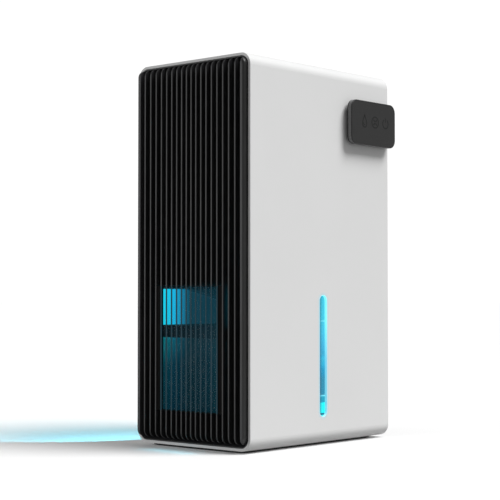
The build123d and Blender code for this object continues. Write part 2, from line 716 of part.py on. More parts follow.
def fan_stator():
    """Four-pole core and windings, pushed onto the bearing tube."""
    y0, y1 = FAN_Y[0] + 8, FAN_Y[1] - 6
    core = rod_y(STATOR_R, y0, y1, 0, CORE_Z)
    for i in range(4):
        arm = block((0, 14.0), (y0 + 1, y1 - 1), (-3, 3))
        shoe = block((12.0, 14.5), (y0, y1), (-7.0, 7.0))
        core += Pos(0, 0, CORE_Z) * Rot(0, 90 * i, 0) * (arm + shoe)
    return core - rod_y(TUBE_R + 0.05, -FAR, FAR, 0, CORE_Z)


def fan_rotor():
    """Cup over the stator with blades round it."""
    front, back = FAN_Y[0] + 2, FAN_Y[1] - 4
    rotor = rod_y(FAN_HUB_R, front, back, 0, CORE_Z)
    rotor = fillet(rotor.faces().sort_by(Axis.Y)[0].edges(), 2.0)
    rotor -= rod_y(FAN_HUB_R - 2, front + 2.5, back + 1, 0, CORE_Z)
    rotor += rod_y(2 * SHAFT_R, front + 2, front + 3.6, 0, CORE_Z)
    rotor -= rod_y(SHAFT_R, front + 1, back, 0, CORE_Z)
    for i in range(FAN_BLADES):
        rotor += Pos(0, 0, CORE_Z) * Rot(0, i * 360 / FAN_BLADES, 0) * fan_blade(front, back)
    return rotor


def fan_blade(front, back):
    """Pitched blade standing along +Z from the hub, clear of the bore."""
    y = (front + back) / 2
    root = Plane(origin=(0, y, FAN_HUB_R - 1.5), x_dir=(1, 0, 0), z_dir=(0, 0, 1))
    tip = Plane(origin=(4, y, FAN_BORE_R - 5), x_dir=(1, 0, 0), z_dir=(0, 0, 1))
    root_cut = root * Rot(0, 0, 48) * Rectangle(17, 1.8)
    tip_cut = tip * Rot(0, 0, 30) * Rectangle(28, 1.4)
    return loft([root_cut, tip_cut])


def fan_shaft():
    return rod_y(SHAFT_R, FAN_Y[0] + 3, FAN_Y[1] - 3.5, 0, CORE_Z)


def fan_screws():
    back = FAN_Y[1]
    return [screw_y(x, z, back, FAN_SCREW_LENGTH, HEAD_R, 1.6, 1.8, towards=-1) for x, z in FAN_HOLES]


# ---- Electronics --------------------------------------------------------------------------
def main_board():
    board = block(BOARD_X, BOARD_Y, (BOARD_Z, BOARD_TOP))
    for x, y in BOARD_SCREWS:
        board -= rod_z(1.4, 0, FAR, x, y)
    return board


def board_screws():
    return [rod_z(2.4, BOARD_TOP, BOARD_TOP + 1.4, x, y) + rod_z(1.2, 151.2, BOARD_TOP, x, y)
            for x, y in BOARD_SCREWS]


def capacitors():
    places = [(-20, 52, 5.0, 13), (-8, 52, 5.0, 13), (10, 76, 4.0, 9)]
    return [fillet(rod_z(r, BOARD_TOP, BOARD_TOP + h, x, y).faces().sort_by(Axis.Z)[-1].edges(), 0.6)
            for x, y, r, h in places]


def inductor():
    ring = rod_z(8.0, BOARD_TOP, BOARD_TOP + 8, 14, 56) - rod_z(3.5, BOARD_TOP - 1, BOARD_TOP + 9, 14, 56)
    return fillet(ring.edges(), 1.4)


def mosfet_sinks():
    """Two small sheet sinks, each a web with three wings."""
    height = (BOARD_TOP, BOARD_TOP + 18)
    sinks = []
    for x in (28, 40):
        sink = block((x, x + 1.6), (54, 72), height)
        for y in (54, 62.3, 70.6):
            sink += block((x - 3, x + 4.6), (y, y + 1.4), height)
        sinks.append(sink)
    return sinks


def board_sockets():
    """Open-topped plug sockets along the back edge of the board."""
    sockets = []
    for x in SOCKET_X:
        shell = block((x - 5, x + 5), SOCKET_Y, (BOARD_TOP, BOARD_TOP + SOCKET_H))
        inside_y = (SOCKET_Y[0] + 1, SOCKET_Y[1] - 1)
        sockets.append(shell - block((x - 4, x + 4), inside_y, (BOARD_TOP + 1.5, FAR)))
    return sockets


def dc_jack():
    x, z = JACK
    body = block((x - 6, x + 6), (JACK_FRONT, COVER_Y[0]), (z - 5, z + 6))
    body += rod_y(JACK_NOSE_R, COVER_Y[0] - 0.5, COVER_Y[1], x, z)
    return body - rod_y(JACK_BORE_R, JACK_FRONT + 4, FAR, x, z)


def dc_jack_pin():
    return rod_y(1.0, JACK_FRONT + 4, COVER_Y[1] - 2.0, *JACK)


# ---- Control pod --------------------------------------------------------------------------
POD_MID_Y = sum(POD_Y) / 2
POD_MID_Z = sum(POD_Z) / 2
POD_W = POD_Y[1] - POD_Y[0]
POD_H = POD_Z[1] - POD_Z[0]
POD_BACK = SIDE + POD_STANDOFF
POD_FRONT = POD_BACK + POD_T


def pod_outline(inset):
    return Pos(POD_MID_Y, POD_MID_Z) * RectangleRounded(POD_W - 2 * inset, POD_H - 2 * inset, POD_R - inset)


def pod_base():
    """Foot of the pod with a hollow stem through the sleeve."""
    base = along_x(pod_outline(4.5), SIDE, POD_BACK)
    base += rod_x(STEM_R, INNER_X - 4.0, SIDE, POD_MID_Y, POD_MID_Z)
    return base - rod_x(STEM_BORE_R, 0, FAR, POD_MID_Y, POD_MID_Z)


def pod_nut():
    """Nut on the stem, clamping the pod to the sleeve from inside."""
    nut = Pos(POD_MID_Y, POD_MID_Z) * (RegularPolygon(radius=9.5, side_count=6) - Circle(STEM_R + 0.02))
    return along_x(nut, INNER_X - 3.2, INNER_X)


def pod_housing():
    """Shallow tray, open towards the touch panel."""
    outer = POD_FRONT - TOUCH_T
    shell = along_x(pod_outline(0), POD_BACK, outer)
    shell = fillet(shell.faces().sort_by(Axis.X)[0].edges(), 1.6)
    shell -= along_x(pod_outline(POD_WALL), POD_BACK + POD_FLOOR, outer + 1)
    return shell - rod_x(STEM_BORE_R, 0, FAR, POD_MID_Y, POD_MID_Z)


def touch_panel():
    """Black face with a low rim round it."""
    panel = along_x(pod_outline(0), POD_FRONT - TOUCH_T, POD_FRONT)
    panel = fillet(panel.faces().sort_by(Axis.X)[-1].edges(), 0.6)
    return panel - along_x(pod_outline(TOUCH_RIM), POD_FRONT - TOUCH_SINK, POD_FRONT + 1)


def touch_board():
    """Circuit board on two pegs inside the pod."""
    inner = POD_BACK + POD_FLOOR
    board = along_x(pod_outline(3.5), inner + 1.2, inner + 2.4)
    for y, z in ((POD_Y[0] + 7, POD_Z[0] + 7), (POD_Y[1] - 7, POD_Z[1] - 7)):
        board += rod_x(1.6, inner, inner + 1.3, y, z)
    return board


def touch_electrodes():
    board_face = POD_BACK + POD_FLOOR + 2.4
    return [rod_x(5.0, board_face, POD_FRONT - TOUCH_T, y, KEY_Z) for y in KEY_Y]


# ---- Leads --------------------------------------------------------------------------------
def lead(points, radius, bends):
    """Round lead along straight runs joined by arcs."""
    path = FilletPolyline(*points, radius=bends)
    start = Plane(origin=path @ 0, z_dir=path % 0)
    return sweep(start * Circle(radius), path=path)


def pod_lead():
    """From the control pod's stem, down inside the sleeve to the main board."""
    y, z = POD_MID_Y, POD_MID_Z
    points = [(75.0, y, z), (56.0, y, z), (50.0, 75.0, 250.0), (48.0, 70.0, 195.0), (30.0, 85.0, 178.0),
              (30.0, 85.0, 158.2)]
    return lead(points, 1.4, (5.5, 10, 8, 8))


def fan_lead():
    """From the fan's hub plate along a spoke to the main board."""
    points = [(12.0, FAN_Y[1], 238.0), (12.0, 38.0, 238.0), (36.0, 38.0, 206.0), (10.0, 72.0, 190.0),
              (-6.0, 85.0, 178.0), (-6.0, 85.0, 158.2)]
    return lead(points, 1.2, (4, 10, 8, 8))


def jack_lead():
    """From the supply inlet to the main board."""
    x, z = JACK
    points = [(x, 84.0, z), (x, 76.0, z), (x, 74.0, 174.0), (-34.0, 85.0, 174.0), (-34.0, 85.0, 158.2)]
    return lead(points, 1.4, (3, 3, 5))


# ---- Output -------------------------------------------------------------------------------
def build():
    keep("outer_sleeve", outer_sleeve())
    keep("front_grille", front_grille())
    keep("display_bezel", display_bezel())
    keep("display_lens", display_lens())
    keep("rear_cover", rear_cover())
    keep("rear_cover_screws", *cover_screws())
    keep("rear_screw_posts", *screw_posts())
    keep("base_plate", base_plate())
    keep("rubber_pad", rubber_pad())
    keep("base_screws", *base_screws())
    keep("tank_bay_liner", tank_bay_liner())
    keep("level_lens_right", level_lens())
    keep("level_lens_left", mirrored(level_lens()))
    keep("light_panel_right", light_panel())
    keep("light_panel_left", mirrored(light_panel()))
    keep("led_strip_right", led_strip())
    keep("led_strip_left", mirrored(led_strip()))
    keep("led_chips", *led_chips())
    keep("mid_deck", mid_deck())
    keep("drip_funnel", drip_funnel())
    keep("tank_sensor", tank_sensor())
    keep("water_tank", tank_body())
    keep("tank_grip", tank_grip())
    keep("tank_lid", tank_lid())
    keep("pour_plug", pour_plug())
    keep("float_arm", float_arm())
    keep("float_block", float_block())
    keep("float_magnet", float_magnet())
    keep("core_bulkhead", core_bulkhead())
    keep("cold_heat_sink", cold_sink())
    keep("hot_heat_sink", hot_sink())
    keep("insulation_foam", insulation_foam())
    keep("peltier_modules", *peltier_modules())
    keep("clamp_screws", *clamp_screws())
    keep("fan_plate", fan_plate())
    keep("fan_frame", fan_frame())
    keep("fan_bearing", fan_bearing())
    keep("fan_stator", fan_stator())
    keep("fan_rotor", fan_rotor())
    keep("fan_shaft", fan_shaft())
    keep("fan_screws", *fan_screws())
    keep("main_board", main_board())
    keep("board_screws", *board_screws())
    keep("capacitors", *capacitors())
    keep("inductor", inductor())
    keep("mosfet_sinks", *mosfet_sinks())
    keep("board_sockets", *board_sockets())
    keep("dc_jack", dc_jack())
    keep("dc_jack_pin", dc_jack_pin())
    keep("pod_base", pod_base())
    keep("pod_nut", pod_nut())
    keep("pod_housing", pod_housing())
    keep("touch_panel", touch_panel())
    keep("touch_board", touch_board())
    keep("touch_electrodes", *touch_electrodes())
    keep("pod_lead", pod_lead())
    keep("fan_lead", fan_lead())
    keep("jack_lead", jack_lead())
    for name, shape in made.items():
        export_step(shape, f"parts/{name}.step")


build()
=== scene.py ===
"""Looks of the compact dehumidifier: its materials, key symbols, studio and camera.

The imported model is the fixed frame, in metres: +Z up, the grille faces -Y, the control pod is on +X.
"""
import json
import math

import bmesh
import bpy
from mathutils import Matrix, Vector

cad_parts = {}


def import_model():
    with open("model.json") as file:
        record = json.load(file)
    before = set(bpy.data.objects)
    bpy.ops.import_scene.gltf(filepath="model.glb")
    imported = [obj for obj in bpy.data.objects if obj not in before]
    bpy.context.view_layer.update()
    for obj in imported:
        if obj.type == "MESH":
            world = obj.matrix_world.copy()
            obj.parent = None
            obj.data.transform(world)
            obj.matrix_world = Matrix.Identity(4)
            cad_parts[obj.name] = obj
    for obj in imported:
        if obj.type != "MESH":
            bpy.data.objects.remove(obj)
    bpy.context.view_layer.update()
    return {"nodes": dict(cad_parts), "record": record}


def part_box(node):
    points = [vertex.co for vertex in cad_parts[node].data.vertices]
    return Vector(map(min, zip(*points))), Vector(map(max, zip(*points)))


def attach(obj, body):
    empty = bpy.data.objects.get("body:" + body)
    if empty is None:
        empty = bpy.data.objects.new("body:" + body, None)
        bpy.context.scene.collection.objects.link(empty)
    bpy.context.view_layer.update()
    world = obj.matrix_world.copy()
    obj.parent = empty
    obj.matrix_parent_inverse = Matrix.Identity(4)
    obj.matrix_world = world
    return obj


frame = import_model()
MM = 0.001

# ---- Places taken from the frame ------------------------------------------------------------
SLEEVE_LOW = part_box("outer_sleeve")[0]
LENS_LOW, LENS_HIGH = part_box("display_lens")
SLIT_LOW, SLIT_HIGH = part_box("level_lens_right")
PANEL_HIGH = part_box("light_panel_right")[1]
POD_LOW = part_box("pod_housing")[0]
TOUCH_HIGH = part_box("touch_panel")[1]
KEYS_LOW, KEYS_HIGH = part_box("touch_electrodes")
KEY_R = (KEYS_HIGH.z - KEYS_LOW.z) / 2
KEY_Y = (KEYS_LOW.y + KEY_R, (KEYS_LOW.y + KEYS_HIGH.y) / 2, KEYS_HIGH.y - KEY_R)
BAR_GAP = 0.2 * MM      # the side bars stand this far inside the sides of the grille's frame
BAR_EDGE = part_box("front_grille")[1].x - BAR_GAP
INK_TOP = TOUCH_HIGH.x - 0.05 * MM      # printed marks stay below the rim of the touch face
INK_DEPTH = 0.1 * MM
CURVE_STEPS = 48        # straight runs in a printed circle

# ---- Colours, linear ------------------------------------------------------------------------
CYAN_PALE = (0.16, 0.90, 1.00)
SPILL = (0.16, 0.80, 1.0)       # cyan light that reaches the floor
BLACK = (0.0, 0.0, 0.0)
WHITE = (1.0, 1.0, 1.0)
WHITE_ABS = (0.803, 0.805, 0.803)
BLACK_GLOSS = (0.012, 0.012, 0.013)

# ---- Studio values --------------------------------------------------------------------------
SKY_SEEN = 1.05         # brightness of the backdrop
SKY_LIGHT = 0.30        # brightness of the sky as a light
SUN_WAY = (0.52, 0.26, 0.80)
SUN_STRENGTH = 3.3
SUN_ANGLE = 32          # degrees, for soft shadows
FILL_AT = (-1.25, -1.35, 0.45)
FILL_TARGET = (0.0, -0.1, 0.18)
FILL_SIZE = (1.3, 1.5)
FILL_POWER = 6.8
GLOW_HEIGHT = 0.12
GLOW_POWER = 0.82
GLOW_CONE = 100         # degrees
GLOW_WAY = (-0.80, -0.60, 0.0)          # level direction of the edge of the glow
WINDOW_SPILL_SIZE = (0.06, 0.006)
WINDOW_SPILL_POWER = 0.0016
CAMERA_AT = (0.8720, -1.0072, 0.1383)
CAMERA_TURN = (91.82, 0.0, 41.54)       # degrees
CAMERA_LENS = 100.76                    # mm
SENSOR = 36.0                           # mm


# ---- Node helpers ---------------------------------------------------------------------------
class Shader:
    """A new material with one Principled shader, and short ways to add nodes to it."""

    def __init__(self, name):
        self.material = bpy.data.materials.new(name)
        self.material.use_nodes = True
        self.nodes = self.material.node_tree.nodes
        self.links = self.material.node_tree.links
        self.surface = self.nodes["Principled BSDF"]
        self.place = self.nodes.new("ShaderNodeTexCoord").outputs["Object"]

    def put(self, **values):
        """Sets the shader's own sockets; underscores in a name stand for spaces."""
        for socket, value in values.items():
            entry = self.surface.inputs[socket.replace("_", " ")]
            entry.default_value = (*value, 1.0) if isinstance(value, tuple) and len(value) == 3 else value

    def join(self, output, socket):
        """Drives one of the shader's own sockets."""
        self.links.new(output, self.surface.inputs[socket])

    def noise(self, scale, detail=3.0, stretch=(1.0, 1.0, 1.0)):
        """Noise with scale cells to the metre, squeezed along the axes by stretch."""
        mapping = self.nodes.new("ShaderNodeMapping")
        mapping.inputs["Scale"].default_value = stretch
        self.links.new(self.place, mapping.inputs["Vector"])
        node = self.nodes.new("ShaderNodeTexNoise")
        node.inputs["Scale"].default_value = scale
        node.inputs["Detail"].default_value = detail
        self.links.new(mapping.outputs["Vector"], node.inputs["Vector"])
        return node.outputs["Fac"]

    def spread(self, value, low, high, start=0.3, end=0.7):
        """Maps value from start..end to low..high, held at the ends."""
        node = self.nodes.new("ShaderNodeMapRange")
        for socket, number in (("From Min", start), ("From Max", end), ("To Min", low), ("To Max", high)):
            node.inputs[socket].default_value = number
        self.links.new(value, node.inputs["Value"])
        return node.outputs["Result"]

    def math(self, kind, a, b=0.0):
        """One step of arithmetic on sockets or plain numbers."""
        node = self.nodes.new("ShaderNodeMath")
        node.operation = kind
        for entry, value in zip(node.inputs, (a, b)):
            if isinstance(value, (int, float)):
                entry.default_value = value
            else:
                self.links.new(value, entry)
        return node.outputs["Value"]

    def ramp(self, value, stops):
        """Colour ramp through (position, colour) stops."""
        node = self.nodes.new("ShaderNodeValToRGB")
        bar = node.color_ramp.elements
        while len(bar) < len(stops):
            bar.new(1.0)
        for element, (position, colour) in zip(bar, stops):
            element.position = position
            element.color = (*colour, 1.0)
        self.links.new(value, node.inputs["Fac"])
        return node.outputs["Color"]

    def by_height(self, z, stops, banded=False):
        """Colours at heights in mm, blended from one to the next or, if banded, held up to the next."""
        low, high = stops[0][0], stops[-1][0]
        share = self.spread(z, 0.0, 1.0, low * MM, high * MM)
        colour = self.ramp(share, [((height - low) / (high - low), tone) for height, tone in stops])
        if banded:
            colour.node.color_ramp.interpolation = "CONSTANT"
        return colour

    def times(self, a, b):
        return self.mix(1.0, a, b, "MULTIPLY")

    def mix(self, factor, a, b, kind="MIX"):
        node = self.nodes.new("ShaderNodeMix")
        node.data_type = "RGBA"
        node.blend_type = kind
        for entry, value in ((node.inputs[0], factor), (node.inputs[6], a), (node.inputs[7], b)):
            if isinstance(value, tuple):
                entry.default_value = (*value, 1.0)
            elif isinstance(value, (int, float)):
                entry.default_value = value
            else:
                self.links.new(value, entry)
        return node.outputs[2]

    def axis(self, name):
        """Coordinate along X, Y or Z in the row frame, in metres."""
        node = self.nodes.new("ShaderNodeSeparateXYZ")
        self.links.new(self.place, node.inputs["Vector"])
        return node.outputs[name]

    def bump(self, height, depth, strength=1.0):
        node = self.nodes.new("ShaderNodeBump")
        node.inputs["Strength"].default_value = strength
        node.inputs["Distance"].default_value = depth
        self.links.new(height, node.inputs["Height"])
        self.join(node.outputs["Normal"], "Normal")

    def mottle(self, base, amount, scale):
        """Base colour with a faint uneven tone."""
        dark = tuple(channel * (1.0 - amount) for channel in base)
        light = tuple(min(channel * (1.0 + amount), 1.0) for channel in base)
        colour = self.ramp(self.noise(scale), [(0.3, dark), (0.7, light)])
        self.join(colour, "Base Color")
        return colour

    def uneven_gloss(self, low, high, scale):
        self.join(self.spread(self.noise(scale, 5.0), low, high), "Roughness")


def moulded(name, base, rough, grain=0.35, depth=0.008, tone=0.06, **sockets):
    """Moulded plastic: spark-eroded grain (in mm), faint flow tone and handled gloss."""
    shader = Shader(name)
    shader.put(**sockets)
    shader.mottle(base, tone, 35.0)
    shader.uneven_gloss(rough - 0.05, rough + 0.06, 90.0)
    shader.bump(shader.noise(1.0 / (grain * MM), 2.0), depth * MM, 0.6)
    return shader.material


# ---- Materials ------------------------------------------------------------------------------
def slit_distance(shader):
    """Distance from the centre line of the level slits, seen from the side: shorter than them by reach."""
    y, z = shader.axis("Y"), shader.axis("Z")
    reach = 8.0 * MM
    middle = shader.nodes.new("ShaderNodeClamp")
    middle.inputs["Min"].default_value = SLIT_LOW.z + reach
    middle.inputs["Max"].default_value = SLIT_HIGH.z - reach
    shader.links.new(z, middle.inputs["Value"])
    along = shader.math("SUBTRACT", z, middle.outputs["Result"])
    square = shader.math("ADD", shader.math("POWER", shader.math("ABSOLUTE", along), 2.0),
                         shader.math("POWER", shader.math("ABSOLUTE", y), 2.0))
    return shader.math("SQRT", square)


def white_shell():
    """Satin white ABS with painted cyan light on and round the walls of the level slits, in its base
    colour and emission.
    """
    shader = Shader("white_shell")
    z = shader.axis("Z")
    clean = shader.mottle(WHITE_ABS, 0.012, 9.0)
    dust = shader.spread(z, 0.10, 0.0, SLEEVE_LOW.z, SLEEVE_LOW.z + 14 * MM)
    scuffs = shader.math("MULTIPLY", dust, shader.spread(shader.noise(220.0, 6.0), 0.2, 1.0))
    shader.uneven_gloss(0.36, 0.44, 40.0)
    shader.bump(shader.noise(2600.0, 2.0), 0.003 * MM, 0.5)
    distance = slit_distance(shader)
    # painted cyan light: the base colour turns cyan close round the slits
    painted_halo = shader.spread(distance, 0.45, 0.0, 5.2 * MM, 8.6 * MM)
    worn = shader.mix(scuffs, clean, (0.42, 0.41, 0.40))
    shader.join(shader.mix(painted_halo, worn, (0.42, 0.76, 0.90)), "Base Color")
    # painted light: cyan emission on the slit walls, falling off away from them and dimmer low down
    painted_jamb_glow = [(0.0, CYAN_PALE), (0.24, CYAN_PALE), (0.3, (0.010, 0.035, 0.045)), (1.0, BLACK)]
    glow = shader.ramp(shader.spread(distance, 0.0, 1.0, 4.6 * MM, 7.6 * MM), painted_jamb_glow)
    height = shader.ramp(shader.spread(z, 0.0, 1.0, SLIT_LOW.z, SLIT_HIGH.z),
                         [(0.0, (0.55, 0.55, 0.6)), (0.45, (0.5, 0.55, 0.7)), (0.75, WHITE)])
    shader.join(shader.times(glow, height), "Emission Color")
    shader.put(Emission_Strength=0.8, Specular_IOR_Level=0.5)
    return shader.material


def black_grille():
    """Polished black moulding with a painted faint glow in front of the window; its side bars carry a
    painted highlight and painted shade, darker outwards.
    """
    shader = Shader("black_grille")
    x, z = shader.axis("X"), shader.axis("Z")
    # painted highlight and painted shade across the side bars: brighter near their inner edge, black at
    # their outer edge
    outer = shader.spread(shader.math("ABSOLUTE", x), 0.0, 1.0, BAR_EDGE - 5 * MM, BAR_EDGE)
    painted_light_fade = shader.ramp(outer, [(0.0, WHITE), (0.1, (2.4, 2.4, 2.4)), (0.35, (2.0, 2.0, 2.0)),
                               (0.6, (0.2, 0.2, 0.2)), (1.0, BLACK)])
    shader.join(shader.times(shader.mottle(BLACK_GLOSS, 0.25, 60.0), painted_light_fade), "Base Color")
    inside = shader.math("LESS_THAN", shader.math("ABSOLUTE", x), LENS_HIGH.x)
    for edge, kind in ((LENS_LOW.z, "GREATER_THAN"), (LENS_HIGH.z, "LESS_THAN")):
        inside = shader.math("MULTIPLY", inside, shader.math(kind, z, edge))
    gloss = shader.spread(shader.noise(160.0, 6.0, (1.0, 1.0, 0.15)), 0.36, 0.48)
    shader.join(shader.math("ADD", gloss, shader.math("MULTIPLY", inside, 0.4)), "Roughness")
    # painted light: cyan emission on the grille in front of the window
    shader.join(shader.mix(inside, BLACK, (0.002, 0.025, 0.037)), "Emission Color")
    shader.bump(shader.noise(900.0, 3.0, (1.0, 1.0, 0.1)), 0.004 * MM, 0.4)
    shader.put(Specular_IOR_Level=0.5, Emission_Strength=1.0)
    return shader.material


def clear(name, tint, alpha, rough, frost=1200.0, gloss=0.5):
    """Clear tinted moulding with faint surface haze."""
    shader = Shader(name)
    shader.mottle(tint, 0.10, 50.0)
    shader.uneven_gloss(rough, rough + 0.08, 120.0)
    shader.bump(shader.noise(frost, 2.0), 0.003 * MM, 0.3)
    shader.put(Alpha=alpha, Specular_IOR_Level=gloss)
    return shader


def smoked_lens():
    """Display lens: clear, with painted stray light as emission, brighter towards its right-hand edge and
    dimmer towards its bottom.
    """
    shader = clear("smoked_lens", (0.004, 0.02, 0.03), 0.16, 0.06, gloss=0.1)
    across = shader.spread(shader.axis("X"), 0.0, 1.0, LENS_LOW.x, LENS_HIGH.x)
    # painted stray light, as emission, brighter towards the right-hand edge
    stray = shader.ramp(across, [(0.0, (0.003, 0.010, 0.015)), (0.45, (0.003, 0.03, 0.045)),
                                 (0.8, (0.005, 0.05, 0.08)), (1.0, (0.006, 0.08, 0.11))])
    up = shader.spread(shader.axis("Z"), 0.0, 1.0, LENS_LOW.z, LENS_HIGH.z)
    painted_light_fade = shader.ramp(up, [(0.0, (0.7, 0.7, 0.7)), (0.5, WHITE), (1.0, (0.8, 0.8, 0.8))])
    shader.join(shader.times(stray, painted_light_fade), "Emission Color")
    shader.put(Emission_Strength=1.0)
    return shader.material


def level_lens():
    return clear("level_lens", (0.03, 0.20, 0.26), 0.12, 0.05).material


def tank_clear():
    return clear("tank_clear", (0.014, 0.11, 0.16), 0.22, 0.14, 700.0, 0.2).material


def funnel_clear():
    return clear("funnel_clear", (0.004, 0.03, 0.04), 0.22, 0.30, 700.0, 0.1).material


def blackout():
    return moulded("blackout", (0.004, 0.004, 0.004), 0.9, 0.3, 0.01, 0.2, Specular_IOR_Level=0.1)


def key_print():
    return moulded("key_print", (0.008, 0.008, 0.008), 0.5, 0.2, 0.004, Specular_IOR_Level=0.25)


def lid_plastic():
    return moulded("lid_plastic", (0.006, 0.008, 0.010), 0.75, 0.5, 0.015, Specular_IOR_Level=0.15)


def light_guide():
    """Edge-lit panel whose light is painted as emission: its inner face has a painted fall-off away from
    the lamps and painted shade low down, its outer face is banded like a gauge.
    """
    shader = Shader("light_guide")
    x, y, z = shader.axis("X"), shader.axis("Y"), shader.axis("Z")
    shader.mottle((0.02, 0.10, 0.13), 0.1, 40.0)
    shader.uneven_gloss(0.40, 0.52, 80.0)
    shader.bump(shader.noise(800.0, 2.0), 0.01 * MM, 0.5)
    # painted fall-off of the lamps' light from the front of the panel towards its back
    along = shader.spread(y, 0.0, 1.0, -75 * MM, 10 * MM)
    reach = shader.ramp(along, [(0.0, (0.012, 0.86, 1.10)), (0.15, (0.010, 0.60, 0.98)),
                                (0.30, (0.008, 0.24, 0.42)), (0.42, (0.004, 0.05, 0.08)),
                                (1.0, (0.002, 0.012, 0.018))])
    # painted shade on the inner face, darker towards the bottom
    up = shader.spread(z, 0.0, 1.0, LENS_LOW.z, LENS_HIGH.z)
    depth = shader.ramp(up, [(0.0, (0.06, 0.07, 0.08)), (0.35, (0.10, 0.13, 0.14)),
                             (0.55, (0.5, 0.5, 0.45)), (0.68, (0.9, 0.9, 0.9)), (1.0, WHITE)])
    inner = shader.times(reach, depth)
    outer = gauge_bands(shader, y, z)
    outside = shader.math("GREATER_THAN", shader.math("ABSOLUTE", x), PANEL_HIGH.x - 0.5 * MM)
    shader.join(shader.mix(outside, inner, outer), "Emission Color")
    shader.put(Emission_Strength=1.1)
    return shader.material


def gauge_bands(shader, y, z):
    """Painted lit tones seen through a level slit, by height in mm, with painted shade towards the front
    and low down.
    """
    upper = (0.080, 0.703, 0.894)
    low = (0.030, 0.454, 0.622)
    line = (0.25, 1.0, 1.15)
    block = (0.032, 1.27, 1.25)
    shade = (0.02, 0.20, 0.32)
    tones = shader.by_height(z, [(24, block), (27.5, shade), (29, block), (38.5, low), (44.3, line),
                                 (45.6, upper), (113.2, line), (114.4, upper)], banded=True)
    # painted variation of the lit tones with height, dimmer low down
    painted_height_tones = shader.by_height(z, [(45.5, WHITE), (46, (0.61, 0.46, 0.56)), (61, (0.61, 0.46, 0.56)),
                                   (65, (0.45, 0.51, 0.68)), (69.5, (0.39, 0.56, 0.74)),
                                   (73.5, (0.6, 0.76, 0.9)), (77, (0.70, 0.78, 0.9)),
                                   (79.6, (0.80, 0.88, 0.98)), (83, (0.77, 0.68, 0.82)),
                                   (92, (1.0, 0.80, 0.95)), (103, (1.0, 0.94, 1.03)), (114, WHITE)])
    # painted shade from the slit's front wall, darker towards the front
    front_shade = shader.ramp(shader.spread(y, 0.0, 1.0, 0.5 * MM, 9.0 * MM),
                              [(0.0, (0.10, 0.12, 0.15)), (0.22, (0.45, 0.50, 0.55)),
                               (0.5, (0.85, 0.85, 0.9)), (1.0, (1.2, 1.15, 1.1))])
    return shader.times(shader.times(tones, painted_height_tones), front_shade)


def lamp():
    shader = Shader("led_lamp")
    shader.mottle((0.5, 0.9, 1.0), 0.05, 400.0)
    shader.uneven_gloss(0.2, 0.3, 500.0)
    shader.put(Emission_Color=CYAN_PALE, Emission_Strength=4.0)
    return shader.material


def metal(name, base, rough, along=(1.0, 1.0, 1.0)):
    """Metal with fine drawing lines along one axis."""
    shader = Shader(name)
    shader.put(Metallic=1.0)
    shader.mottle(base, 0.12, 45.0)
    lines = shader.noise(1500.0, 4.0, along)
    shader.join(shader.spread(lines, rough - 0.08, rough + 0.1), "Roughness")
    shader.bump(lines, 0.004 * MM, 0.5)
    return shader.material


def circuit_board():
    """Green solder resist with buried copper tracks."""
    shader = Shader("circuit_board")
    tracks = shader.nodes.new("ShaderNodeTexBrick")
    tracks.inputs["Scale"].default_value = 260.0
    tracks.inputs["Mortar Size"].default_value = 0.03
    shader.links.new(shader.place, tracks.inputs["Vector"])
    colour = shader.mix(tracks.outputs["Fac"], (0.005, 0.07, 0.03), (0.03, 0.18, 0.07))
    shader.join(colour, "Base Color")
    shader.uneven_gloss(0.25, 0.4, 300.0)
    shader.bump(tracks.outputs["Fac"], 0.03 * MM, 0.5)
    return shader.material


def foam():
    shader = Shader("foam")
    cells = shader.nodes.new("ShaderNodeTexVoronoi")
    cells.inputs["Scale"].default_value = 900.0
    shader.links.new(shader.place, cells.inputs["Vector"])
    tones = shader.ramp(cells.outputs["Distance"], [(0.0, (0.01, 0.01, 0.01)), (0.8, (0.05, 0.05, 0.05))])
    shader.join(tones, "Base Color")
    shader.bump(cells.outputs["Distance"], 0.15 * MM, 0.8)
    shader.put(Roughness=0.9)
    return shader.material


def pod_shell():
    """Graphite moulding with painted shade round its back edge, where it faces the sleeve."""
    shader = Shader("pod_plastic")
    tone = shader.mottle((0.12, 0.12, 0.122), 0.05, 60.0)
    # painted shade: the rear of the housing, in the gap to the sleeve, is darkened
    back = shader.spread(shader.axis("X"), 1.0, 0.0, POD_LOW.x + 1.2 * MM, POD_LOW.x + 2.6 * MM)
    shader.join(shader.mix(back, tone, (0.012, 0.012, 0.012)), "Base Color")
    shader.uneven_gloss(0.34, 0.46, 90.0)
    shader.bump(shader.noise(3200.0, 2.0), 0.006 * MM, 0.5)
    return shader.material


def touch_skin():
    """Soft-touch face of the pod with uneven gloss."""
    shader = Shader("touch_skin")
    shader.mottle((0.018, 0.018, 0.018), 0.05, 60.0)
    shader.uneven_gloss(0.44, 0.52, 110.0)
    shader.bump(shader.noise(2400.0, 2.0), 0.004 * MM, 0.5)
    shader.put(Specular_IOR_Level=0.35)
    return shader.material


